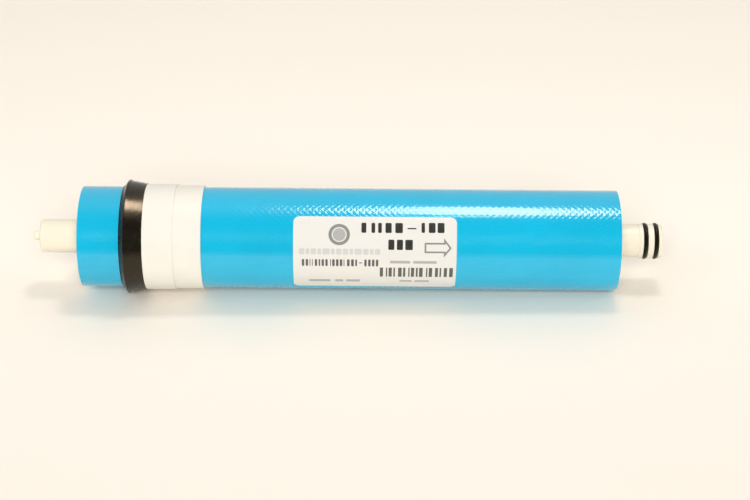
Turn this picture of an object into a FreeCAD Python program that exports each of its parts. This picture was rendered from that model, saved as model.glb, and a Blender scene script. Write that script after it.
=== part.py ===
"""Spiral wound reverse osmosis element, one solid for each piece, in millimetres.

The element lies along X. The feed end with its brine seal is at -X, the outlet spigot at +X,
+Z is up and the label faces -Y. The origin is the middle of the element's whole length.
"""
import FreeCAD, Part
import math
import os
import Sketcher

Vector = FreeCAD.Vector

# Driving sizes: alias, value, what it is
SIZES = [
    ("roll_length", 254.0, "length of the wrapped roll"),
    ("tube_diameter", 16.6, "outside of the permeate tube"),
    ("tube_wall", 2.8, "wall of the permeate tube"),
    ("neck_turning", 0.3, "depth that the stub and the outlet neck are turned down"),
    ("feed_stub_length", 20.4, "tube standing out of the feed face"),
    ("outlet_stub_length", 22.0, "tube standing out of the outlet face"),
    ("stub_chamfer", 0.6, "chamfer on the feed end of the tube"),
    ("perforation_diameter", 2.0, "drain hole through the tube wall"),
    ("perforation_pitch", 48.0, "distance between drain holes of a row"),
    ("perforation_count", 4, "drain holes in a row"),
    ("land_length", 11.0, "spigot land from the outlet end inwards"),
    ("lead_in_length", 1.2, "length of the lead-in taper on the outlet end"),
    ("lead_in_depth", 0.6, "depth of the lead-in taper on the outlet end"),
    ("ring_section", 2.0, "section of a ring seal"),
    ("ring_stand", 0.45, "how far a ring seal stands out of the land"),
    ("ring_pitch", 5.0, "distance between the two ring seals"),
    ("ring_end_distance", 3.05, "outboard ring to the outlet end"),
    ("groove_side_room", 0.15, "room beside a ring in its groove"),
    ("groove_floor_room", 0.02, "room under a ring in its groove"),
    ("plug_length", 9.0, "plug inside the feed end of the tube"),
    ("plug_fit", 0.05, "radial room of the plug in the bore"),
    ("nib_diameter", 4.5, "moulding nib on the plug"),
    ("nib_length", 3.7, "how far the nib stands out"),
    ("nib_chamfer", 0.5, "chamfer on the nib"),
    ("core_wrap_thickness", 0.33, "thinnest place of the first turn round the tube"),
    ("carrier_thickness", 0.42, "permeate carrier cloth"),
    ("membrane_thickness", 0.18, "membrane sheet"),
    ("spacer_thickness", 0.83, "feed spacer net"),
    ("layer_gap", 0.01, "room between two layers of the roll"),
    ("half_turns", 8, "half turns that each leaf makes"),
    ("outer_net_thickness", 0.27, "thinnest place of the last net turn"),
    ("wrap_thickness", 0.25, "outer wrap"),
    ("sheet_inset", 0.5, "trimmed sheets inside the edge of the wrap"),
    ("spacer_inset", 1.5, "net ends inside the edge of the wrap"),
    ("seal_start", 19.4, "feed face to the brine seal"),
    ("seal_length", 10.9, "brine seal along the roll"),
    ("seal_fit", 0.02, "room between the seal and the wrap"),
    ("sleeve_height", 0.45, "inner sleeve of the seal above the wrap"),
    ("seal_groove", 0.5, "height of the groove under the lip"),
    ("seal_groove_depth", 4.8, "depth of the groove from the sleeve end"),
    ("lip_nose_start", 0.6, "sleeve end to the nose of the lip"),
    ("crest_start", 2.4, "sleeve end to the crest of the lip"),
    ("crest_height", 3.25, "crest of the lip above the wrap"),
    ("crest_width", 0.4, "width of the crest"),
    ("crest_bevel", 0.12, "bevel on both sides of the crest"),
    ("back_start", 3.9, "sleeve end to the ribbed back of the lip"),
    ("back_height", 2.5, "start of the ribbed back above the wrap"),
    ("heel_start", 9.7, "sleeve end to the heel of the seal"),
    ("heel_height", 1.5, "heel of the seal above the wrap"),
    ("heel_bevel", 0.4, "bevel on the heel"),
    ("rib_count", 4, "fine ribs on the back of the lip"),
    ("rib_width", 0.6, "width of a fine rib"),
    ("rib_height", 0.16, "height of a fine rib"),
    ("tape_width", 27.3, "white tape behind the seal"),
    ("tape_build", 0.7, "wound thickness of the white tape"),
    ("top_tape_width", 14.2, "second white tape beside the seal"),
    ("top_tape_build", 0.5, "wound thickness of the second white tape"),
    ("tape_fit", 0.01, "room under each tape and the label"),
    ("label_width", 76.2, "label along the roll"),
    ("label_height", 39.8, "label round the roll"),
    ("label_thickness", 0.12, "label stock"),
    ("label_corner", 3.0, "corner radius of the label"),
    ("label_centre", 11.9, "middle of the label from the middle of the roll"),
    ("label_lift", 6.0, "degrees that the label sits above the front"),
]

doc = FreeCAD.newDocument("membrane_element")
sheet = doc.addObject("Spreadsheet::Sheet", "Sizes")
for row, (alias, number, meaning) in enumerate(SIZES, start=1):
    sheet.set(f"A{row}", meaning)
    sheet.set(f"B{row}", str(number))
    sheet.setAlias(f"B{row}", alias)
doc.recompute()


def size(alias):
    """Read one driving size from the sheet."""
    return sheet.get(alias)


# Places worked out from the driving sizes, as expressions on the sheet
ROLL_CENTRE = "(Sizes.feed_stub_length + Sizes.nib_length - Sizes.outlet_stub_length) / 2"
FEED_FACE = f"({ROLL_CENTRE} - Sizes.roll_length / 2)"
OUTLET_FACE = f"({ROLL_CENTRE} + Sizes.roll_length / 2)"
TUBE_FEED_END = f"{FEED_FACE} - Sizes.feed_stub_length"
TUBE_OUTLET_END = f"{OUTLET_FACE} + Sizes.outlet_stub_length"
TUBE_SURFACE = "Sizes.tube_diameter / 2"
NECK_SURFACE = f"({TUBE_SURFACE} - Sizes.neck_turning)"
BORE_SURFACE = f"({TUBE_SURFACE} - Sizes.tube_wall)"
RING_SURFACE = f"({TUBE_SURFACE} + Sizes.ring_stand)"
SHEETS = "Sizes.carrier_thickness + 2 * Sizes.membrane_thickness + Sizes.spacer_thickness"
LAYER = f"({SHEETS} + 4 * Sizes.layer_gap)"
NET_SURFACE = (
    f"({TUBE_SURFACE} + Sizes.core_wrap_thickness + (Sizes.half_turns + 1) * {LAYER}"
    " + Sizes.outer_net_thickness)"
)
ROLL_SURFACE = f"({NET_SURFACE} + Sizes.wrap_thickness)"
SEAL_EDGE = f"({FEED_FACE} + Sizes.seal_start)"
TAPE_EDGE = f"({SEAL_EDGE} + Sizes.seal_length)"


def work_out(expression):
    """Give the number that an expression on the sheet stands for."""
    return float(sheet.evalExpression(expression))


def new_body(label):
    """Add a body whose label names its node."""
    body = doc.addObject("PartDesign::Body", label)
    body.Label = label
    return body


def origin_plane(body, role):
    """Find one of a body's own origin planes."""
    return next(plane for plane in body.Origin.OriginFeatures if plane.Role == role)


def sketch_on(body, name, role):
    """Attach a new sketch to one of the body's origin planes."""
    sketch = body.newObject("Sketcher::SketchObject", name)
    sketch.AttachmentSupport = [(origin_plane(body, role), "")]
    sketch.MapMode = "FlatFace"
    return sketch


def bind(sketch, constraint, expression):
    """Add a constraint to a sketch and tie its size to the sheet."""
    index = sketch.addConstraint(constraint)
    sketch.setExpression(f"Constraints[{index}]", expression)


def outline_sketch(body, name, corners):
    """Draw a closed outline through corners given as pairs of expressions, X first and radius second."""
    sketch = sketch_on(body, name, "XY_Plane")
    places = [Vector(work_out(along), work_out(radius), 0) for along, radius in corners]
    count = len(corners)
    for index in range(count):
        sketch.addGeometry(Part.LineSegment(places[index], places[(index + 1) % count]))
    for index in range(count):
        sketch.addConstraint(Sketcher.Constraint("Coincident", index, 2, (index + 1) % count, 1))
    for index, (along, radius) in enumerate(corners):
        place = places[index]
        bind(sketch, Sketcher.Constraint("DistanceX", -1, 1, index, 1, place.x), along)
        if abs(place.y) < 1e-9:
            sketch.addConstraint(Sketcher.Constraint("PointOnObject", index, 1, -1))
        else:
            bind(sketch, Sketcher.Constraint("DistanceY", -1, 1, index, 1, place.y), radius)
    return sketch


def turned(body, corners):
    """Revolve an outline once round the X axis."""
    sketch = outline_sketch(body, f"{body.Label}_outline", corners)
    turn = body.newObject("PartDesign::Revolution", f"{body.Label}_turn")
    turn.Profile = sketch
    turn.ReferenceAxis = (sketch, ["H_Axis"])
    turn.Angle = 360
    return turn


def tube_section(inner, outer, start, end):
    """List the corners of a plain ring between two radii and two places along X."""
    return [(start, inner), (end, inner), (end, outer), (start, outer)]


def make_permeate_tube():
    """Make the perforated centre tube with its spigot and two ring grooves."""
    body = new_body("permeate_tube")
    land_start = f"{TUBE_OUTLET_END} - Sizes.land_length"
    corners = [
        (TUBE_FEED_END, BORE_SURFACE),
        (TUBE_FEED_END, f"{NECK_SURFACE} - Sizes.stub_chamfer"),
        (f"{TUBE_FEED_END} + Sizes.stub_chamfer", NECK_SURFACE),
        (FEED_FACE, NECK_SURFACE),
        (FEED_FACE, TUBE_SURFACE),
        (OUTLET_FACE, TUBE_SURFACE),
        (OUTLET_FACE, NECK_SURFACE),
        (f"{land_start} - Sizes.neck_turning", NECK_SURFACE),
        (land_start, TUBE_SURFACE),
        (f"{TUBE_OUTLET_END} - Sizes.lead_in_length", TUBE_SURFACE),
        (TUBE_OUTLET_END, f"{TUBE_SURFACE} - Sizes.lead_in_depth"),
        (TUBE_OUTLET_END, BORE_SURFACE),
    ]
    turned(body, corners)
    doc.recompute()

    inboard = f"{TUBE_OUTLET_END} - Sizes.ring_end_distance - Sizes.ring_pitch"
    half_width = "(Sizes.ring_section / 2 + Sizes.groove_side_room)"
    floor = f"{RING_SURFACE} - Sizes.ring_section - Sizes.groove_floor_room"
    section = tube_section(
        floor, RING_SURFACE, f"{inboard} - {half_width}", f"{inboard} + {half_width}"
    )
    cut_outline = outline_sketch(body, "ring_groove_outline", section)
    groove = body.newObject("PartDesign::Groove", "ring_groove")
    groove.Profile = cut_outline
    groove.ReferenceAxis = (cut_outline, ["H_Axis"])
    groove.Angle = 360
    doc.recompute()
    grooves = body.newObject("PartDesign::LinearPattern", "ring_grooves")
    grooves.Originals = [groove]
    grooves.Direction = (cut_outline, ["H_Axis"])
    grooves.setExpression("Length", "Sizes.ring_pitch")
    grooves.Occurrences = 2
    body.Tip = grooves
    doc.recompute()

    row_start = f"{ROLL_CENTRE} - (Sizes.perforation_count - 1) * Sizes.perforation_pitch / 2"
    drill_row(body, "upright_holes", "XY_Plane", f"{row_start} - Sizes.perforation_pitch / 4")
    drill_row(body, "level_holes", "XZ_Plane", f"{row_start} + Sizes.perforation_pitch / 4")
    return body


def drill_row(body, name, role, first_place):
    """Drill one row of drain holes right through the tube, across one origin plane."""
    before = body.Shape.Volume
    sketch = sketch_on(body, f"{name}_sketch", role)
    start = work_out(first_place)
    radius = size("perforation_diameter") / 2
    sketch.addGeometry(Part.Circle(Vector(start, 0, 0), Vector(0, 0, 1), radius))
    bind(sketch, Sketcher.Constraint("DistanceX", -1, 1, 0, 3, start), first_place)
    sketch.addConstraint(Sketcher.Constraint("PointOnObject", 0, 3, -1))
    bind(sketch, Sketcher.Constraint("Radius", 0, radius), "Sizes.perforation_diameter / 2")
    doc.recompute()
    drill = body.newObject("PartDesign::Pocket", name)
    drill.Profile = sketch
    drill.SideType = "Symmetric"
    drill.Type = "ThroughAll"
    doc.recompute()
    row = body.newObject("PartDesign::LinearPattern", f"{name}_row")
    row.Originals = [drill]
    row.Direction = (sketch, ["H_Axis"])
    row.setExpression("Length", "(Sizes.perforation_count - 1) * Sizes.perforation_pitch")
    row.setExpression("Occurrences", "Sizes.perforation_count")
    body.Tip = row
    doc.recompute()
    holes = 2 * size("perforation_count")
    expected = holes * math.pi * radius**2 * size("tube_wall")
    if before - body.Shape.Volume < expected / 2:
        raise RuntimeError(f"{name} is missing holes")


def make_feed_end_plug():
    """Make the plug that closes the tube at the feed end, with its moulding nib."""
    body = new_body("feed_end_plug")
    plug_surface = f"{BORE_SURFACE} - Sizes.plug_fit"
    nib = "Sizes.nib_diameter / 2"
    nib_end = f"{TUBE_FEED_END} - Sizes.nib_length"
    corners = [
        (nib_end, "0"),
        (f"{TUBE_FEED_END} + Sizes.plug_length", "0"),
        (f"{TUBE_FEED_END} + Sizes.plug_length", f"{plug_surface} - Sizes.nib_chamfer"),
        (f"{TUBE_FEED_END} + Sizes.plug_length - Sizes.nib_chamfer", plug_surface),
        (TUBE_FEED_END, plug_surface),
        (TUBE_FEED_END, nib),
        (f"{nib_end} + Sizes.nib_chamfer", nib),
        (nib_end, f"{nib} - Sizes.nib_chamfer"),
    ]
    turned(body, corners)
    return body


def make_ring_seal(label, place):
    """Make one rubber ring seated in its groove."""
    ring = doc.addObject("Part::Torus", label)
    ring.Label = label
    ring.setExpression("Radius1", f"{RING_SURFACE} - Sizes.ring_section / 2")
    ring.setExpression("Radius2", "Sizes.ring_section / 2")
    ring.Placement = FreeCAD.Placement(Vector(0, 0, 0), FreeCAD.Rotation(Vector(0, 1, 0), 90))
    ring.setExpression("Placement.Base.x", place)
    return ring


class Winding:
    """Cross section of the roll: two leaves wound together out of half circles round two centres."""

    def __init__(self):
        self.half_turns = int(size("half_turns"))
        self.layer = work_out(LAYER)
        self.shift = self.layer / 2
        self.gap = size("layer_gap")
        self.first_radius = work_out(f"{TUBE_SURFACE} + Sizes.core_wrap_thickness") + self.shift

    def point(self, centre, radius, angle):
        """Place a point of a half turn in the plane across the roll."""
        return Vector(0, centre + radius * math.cos(angle), radius * math.sin(angle))

    def arc(self, centre, radius, start, end):
        """Draw one arc between two angles."""
        stops = [self.point(centre, radius, angle) for angle in (start, (start + end) / 2, end)]
        return Part.Arc(*stops).toShape()

    def wound_edge(self, offset, start_height):
        """Draw the line that a layer face follows, from the tube outwards."""
        arcs = []
        for turn in range(self.half_turns):
            centre = -self.shift if turn % 2 == 0 else self.shift
            radius = self.first_radius + offset + turn * self.layer
            start = math.pi * turn
            end = start + math.pi
            if turn == 0:
                start += math.asin(start_height / radius)
            if turn == self.half_turns - 1:
                end -= math.asin(self.gap / radius)
            arcs.append(self.arc(centre, radius, start, end))
        return arcs

    def strip(self, inner, outer, start_height):
        """Close two wound lines into the section of one sheet."""
        inside = self.wound_edge(inner, start_height)
        outside = self.wound_edge(outer, start_height)
        first = Part.makeLine(inside[0].firstVertex(True).Point, outside[0].firstVertex(True).Point)
        last = Part.makeLine(inside[-1].lastVertex(True).Point, outside[-1].lastVertex(True).Point)
        return Part.Face(Part.Wire(Part.__sortEdges__(inside + outside + [first, last])))

    def stepped_wire(self, radius):
        """Draw the closed line where the two leaves start or end, with its two steps."""
        upper = self.arc(-self.shift, radius, 0, math.pi)
        lower = self.arc(self.shift, radius, math.pi, 2 * math.pi)
        step = Part.makeLine(upper.lastVertex(True).Point, lower.firstVertex(True).Point)
        back = Part.makeLine(lower.lastVertex(True).Point, upper.firstVertex(True).Point)
        return Part.Wire([upper, step, lower, back])

    def ring_wire(self, radius):
        """Draw a plain circle across the roll."""
        return Part.Wire([Part.makeCircle(radius, Vector(0, 0, 0), Vector(1, 0, 0))])


def ring_face(outside, inside):
    """Fill the room between two closed lines."""
    return Part.makeFace([outside, inside], "Part::FaceMakerBullseye")


def sheet_piece(label, face, inset, turned_over=False):
    """Extrude a section along the roll, short of both faces by an inset, and place it."""
    length = size("roll_length") - 2 * inset
    piece = doc.addObject("Part::Feature", label)
    piece.Label = label
    piece.Shape = face.extrude(Vector(length, 0, 0))
    angle = 180 if turned_over else 0
    piece.Placement = FreeCAD.Placement(
        Vector(work_out(ROLL_CENTRE) - length / 2, 0, 0), FreeCAD.Rotation(Vector(1, 0, 0), angle)
    )
    return piece


def make_leaves(winding):
    """Make the carrier, the folded membrane and the feed spacer of both leaves."""
    gap = winding.gap
    carrier_in = gap / 2
    carrier_out = carrier_in + size("carrier_thickness")
    near_in = carrier_out + gap
    near_out = near_in + size("membrane_thickness")
    spacer_in = near_out + gap
    spacer_out = spacer_in + size("spacer_thickness")
    far_in = spacer_out + gap
    far_out = far_in + size("membrane_thickness")
    fold = gap + size("membrane_thickness")

    carrier = winding.strip(carrier_in, carrier_out, gap)
    spacer = winding.strip(spacer_in, spacer_out, fold + gap)
    membrane = folded_section(winding, (near_in, near_out), (far_in, far_out), fold)

    pieces = []
    for number, turned_over in ((1, False), (2, True)):
        sheets = size("sheet_inset")
        pieces.append(sheet_piece(f"permeate_carrier_{number}", carrier, sheets, turned_over))
        pieces.append(sheet_piece(f"membrane_leaf_{number}", membrane, sheets, turned_over))
        pieces.append(sheet_piece(f"feed_spacer_{number}", spacer, size("spacer_inset"), turned_over))
    return pieces


def folded_section(winding, near, far, fold):
    """Draw the section of one membrane sheet folded round its feed spacer, with the fold at the tube."""
    outside = winding.wound_edge(far[1], winding.gap)
    far_inside = winding.wound_edge(far[0], fold)
    near_outside = winding.wound_edge(near[1], fold)
    inside = winding.wound_edge(near[0], winding.gap)
    lines = [
        Part.makeLine(inside[0].firstVertex(True).Point, outside[0].firstVertex(True).Point),
        Part.makeLine(outside[-1].lastVertex(True).Point, far_inside[-1].lastVertex(True).Point),
        Part.makeLine(far_inside[0].firstVertex(True).Point, near_outside[0].firstVertex(True).Point),
        Part.makeLine(near_outside[-1].lastVertex(True).Point, inside[-1].lastVertex(True).Point),
    ]
    edges = outside + far_inside + near_outside + inside + lines
    return Part.Face(Part.Wire(Part.__sortEdges__(edges)))


def make_core_wrap(winding):
    """Make the first turn of carrier cloth, which fills the room between the tube and the leaves."""
    outside = winding.stepped_wire(winding.first_radius - winding.gap / 2)
    inside = winding.ring_wire(work_out(TUBE_SURFACE) + winding.gap)
    face = ring_face(outside, inside)
    return sheet_piece("core_wrap", face, size("sheet_inset"))


def make_outer_net_turn(winding):
    """Make the last turn of net, which rounds the roll off under the outer wrap."""
    last_radius = winding.first_radius + winding.half_turns * winding.layer
    outside = winding.ring_wire(work_out(NET_SURFACE) - winding.gap)
    inside = winding.stepped_wire(last_radius + winding.gap / 2)
    face = ring_face(outside, inside)
    return sheet_piece("outer_net_turn", face, size("spacer_inset"))


def make_outer_wrap():
    """Make the plastic tape wrap that holds the roll."""
    body = new_body("outer_wrap")
    turned(body, tube_section(NET_SURFACE, ROLL_SURFACE, FEED_FACE, OUTLET_FACE))
    return body


def make_brine_seal():
    """Make the rubber seal, whose lip and groove open towards the feed end."""
    body = new_body("brine_seal")
    end = f"{SEAL_EDGE} + Sizes.seal_length"
    inside = f"{ROLL_SURFACE} + Sizes.seal_fit"
    sleeve = f"{ROLL_SURFACE} + Sizes.sleeve_height"
    lip_under = f"{sleeve} + Sizes.seal_groove"
    groove_end = f"{SEAL_EDGE} + Sizes.seal_groove_depth"
    crest = f"{ROLL_SURFACE} + Sizes.crest_height"
    crest_start = f"{SEAL_EDGE} + Sizes.crest_start"
    crest_end = f"{crest_start} + Sizes.crest_width"
    back = (f"{SEAL_EDGE} + Sizes.back_start", f"{ROLL_SURFACE} + Sizes.back_height")
    heel = (f"{SEAL_EDGE} + Sizes.heel_start", f"{ROLL_SURFACE} + Sizes.heel_height")

    corners = [
        (SEAL_EDGE, inside),
        (SEAL_EDGE, sleeve),
        (groove_end, sleeve),
        (groove_end, lip_under),
        (f"{SEAL_EDGE} + Sizes.lip_nose_start", lip_under),
        (f"{crest_start} - Sizes.crest_bevel", f"{crest} - Sizes.crest_bevel"),
        (crest_start, crest),
        (crest_end, crest),
        (f"{crest_end} + Sizes.crest_bevel", f"{crest} - Sizes.crest_bevel"),
        back,
    ]
    for rib in range(int(size("rib_count"))):
        corners += rib_corners(back, heel, rib)
    corners += [
        heel,
        (f"{end} - Sizes.heel_bevel", heel[1]),
        (end, f"{heel[1]} - Sizes.heel_bevel"),
        (end, inside),
    ]
    turned(body, corners)
    return body


def rib_corners(back, heel, rib):
    """List the foot, top and foot of one fine rib on the line from the back of the lip to the heel."""
    run = f"(({heel[0]}) - ({back[0]}))"
    rise = f"(({heel[1]}) - ({back[1]}))"
    middle = f"({rib + 1} / (Sizes.rib_count + 1))"
    half_share = f"(Sizes.rib_width / 2 / {run})"
    corners = []
    for share, height in (
        (f"({middle} - {half_share})", "0"),
        (middle, "Sizes.rib_height"),
        (f"({middle} + {half_share})", "0"),
    ):
        corners.append((f"{back[0]} + {run} * {share}", f"{back[1]} + {rise} * {share} + {height}"))
    return corners


def make_seal_tapes():
    """Make the two white tapes that hold the brine seal in place."""
    under = new_body("seal_tape")
    bottom = f"{ROLL_SURFACE} + Sizes.tape_fit"
    top = f"{ROLL_SURFACE} + Sizes.tape_build"
    start = f"{TAPE_EDGE} + Sizes.tape_fit"
    turned(under, tube_section(bottom, top, start, f"{TAPE_EDGE} + Sizes.tape_width"))

    over = new_body("seal_tape_top")
    over_bottom = f"{top} + Sizes.tape_fit"
    over_top = f"{top} + Sizes.top_tape_build"
    turned(over, tube_section(over_bottom, over_top, start, f"{TAPE_EDGE} + Sizes.top_tape_width"))
    return [under, over]


def make_label():
    """Make the curved label, a sector of a thin ring with its four corners rounded."""
    inner = work_out(f"{ROLL_SURFACE} + Sizes.tape_fit")
    outer = work_out(f"{ROLL_SURFACE} + Sizes.label_thickness")
    width = size("label_width")
    half_angle = math.degrees(size("label_height") / outer) / 2
    corner = size("label_corner")

    section = Part.makePlane(width, outer - inner, Vector(-width / 2, inner, 0))
    section.rotate(Vector(0, 0, 0), Vector(1, 0, 0), -half_angle)
    stock = section.revolve(Vector(0, 0, 0), Vector(1, 0, 0), 2 * half_angle)
    centre_angle = half_angle - math.degrees(corner / outer)
    for end_side in (-1, 1):
        for edge_side in (-1, 1):
            tool = corner_tool(corner, outer)
            tool = tool.mirror(Vector(0, 0, 0), Vector(1, 0, 0)) if end_side < 0 else tool
            tool = tool.mirror(Vector(0, 0, 0), Vector(0, 0, 1)) if edge_side < 0 else tool
            tool.translate(Vector(end_side * (width / 2 - corner), 0, 0))
            tool.rotate(Vector(0, 0, 0), Vector(1, 0, 0), edge_side * centre_angle)
            stock = stock.cut(tool)

    label = doc.addObject("Part::Feature", "label")
    label.Label = "label"
    label.Shape = stock
    place = Vector(work_out(f"{ROLL_CENTRE} + Sizes.label_centre"), 0, 0)
    label.Placement = FreeCAD.Placement(
        place, FreeCAD.Rotation(Vector(1, 0, 0), 180 - size("label_lift"))
    )
    return label


def corner_tool(radius, reach):
    """Shape what lies outside a rounded corner, standing along Y out of the middle of the roll."""
    block = Part.makeBox(2 * radius, 2 * reach, 2 * radius)
    rounding = Part.makeCylinder(radius, 2 * reach, Vector(0, 0, 0), Vector(0, 1, 0))
    return block.cut(rounding)


def check_document(pieces):
    """Stop if any object failed or any piece is not one valid solid."""
    for item in doc.Objects:
        if "Invalid" in item.State or "Error" in item.State:
            raise RuntimeError(f"{item.Label} failed: {item.State}")
    for piece in pieces:
        shape = piece.Shape
        if shape.isNull() or not shape.isValid() or len(shape.Solids) != 1:
            raise RuntimeError(f"{piece.Label} is not one valid solid")


def write_pieces(pieces):
    """Write each piece to a file named after it."""
    os.makedirs("parts", exist_ok=True)
    for piece in pieces:
        piece.Shape.exportStep(f"parts/{piece.Label}.step")
        print(piece.Label, round(piece.Shape.Volume, 2), piece.Shape.BoundBox)


outboard_place = f"{TUBE_OUTLET_END} - Sizes.ring_end_distance"
winding = Winding()
pieces = [
    make_permeate_tube(),
    make_feed_end_plug(),
    make_ring_seal("o_ring_inboard", f"{outboard_place} - Sizes.ring_pitch"),
    make_ring_seal("o_ring_outboard", outboard_place),
    make_core_wrap(winding),
    *make_leaves(winding),
    make_outer_net_turn(winding),
    make_outer_wrap(),
    make_brine_seal(),
    *make_seal_tapes(),
    make_label(),
]
doc.recompute()
check_document(pieces)
write_pieces(pieces)
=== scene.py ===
"""Dressed model of a spiral wound reverse osmosis element, lying on a pale studio floor."""

import logging
import math
from dataclasses import dataclass, field
from enum import Enum
from typing import Iterable, Sequence

import bpy
from mathutils import Matrix, Vector


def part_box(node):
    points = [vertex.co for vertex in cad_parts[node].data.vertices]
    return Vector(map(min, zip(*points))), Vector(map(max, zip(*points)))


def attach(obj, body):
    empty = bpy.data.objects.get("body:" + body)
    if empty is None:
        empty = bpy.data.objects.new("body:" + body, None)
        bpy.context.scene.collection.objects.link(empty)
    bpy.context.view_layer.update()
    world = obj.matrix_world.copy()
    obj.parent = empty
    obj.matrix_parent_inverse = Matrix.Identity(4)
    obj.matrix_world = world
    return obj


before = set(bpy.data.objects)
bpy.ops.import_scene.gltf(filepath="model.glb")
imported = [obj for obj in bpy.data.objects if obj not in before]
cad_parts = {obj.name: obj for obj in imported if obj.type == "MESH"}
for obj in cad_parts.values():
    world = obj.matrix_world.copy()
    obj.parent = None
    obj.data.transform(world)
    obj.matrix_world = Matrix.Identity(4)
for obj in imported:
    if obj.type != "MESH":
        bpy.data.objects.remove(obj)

LOG = logging.getLogger("membrane_element")
ROOT = "root"

Colour = tuple[float, float, float]
Place = tuple[float, float, float]
Span = tuple[float, float]
Node = bpy.types.Node
Piece = bpy.types.Object
Socket = bpy.types.NodeSocket

# Between these two levels lie most of a noise's values
NOISE_SPAN: Span = (0.3, 0.7)


class Slot(Enum):
    """Material slots of the record for the label and the net."""

    LABEL = "label_stock"
    NET = "spacer_net"


class Ink(Enum):
    """Inks of the label's print, with their colours."""

    BLACK = (0.012, 0.011, 0.010)
    SOFT_BLACK = (0.083, 0.080, 0.074)
    GREY = (0.235, 0.235, 0.222)
    FAINT = (0.40, 0.40, 0.38)
    PALE = (0.59, 0.59, 0.565)


class Reach(Enum):
    """What a lamp acts on."""

    SHADING = "shading"
    REFLECTIONS = "reflections"


class End(Enum):
    """The two faces of the roll, with the direction that each faces along X."""

    FEED = -1
    OUTLET = 1


class Blend(Enum):
    """Data types of the Mix node, with the places of its two inputs and its result."""

    RGBA = (6, 7, 2)
    VECTOR = (4, 5, 1)


# Node graphs


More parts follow.
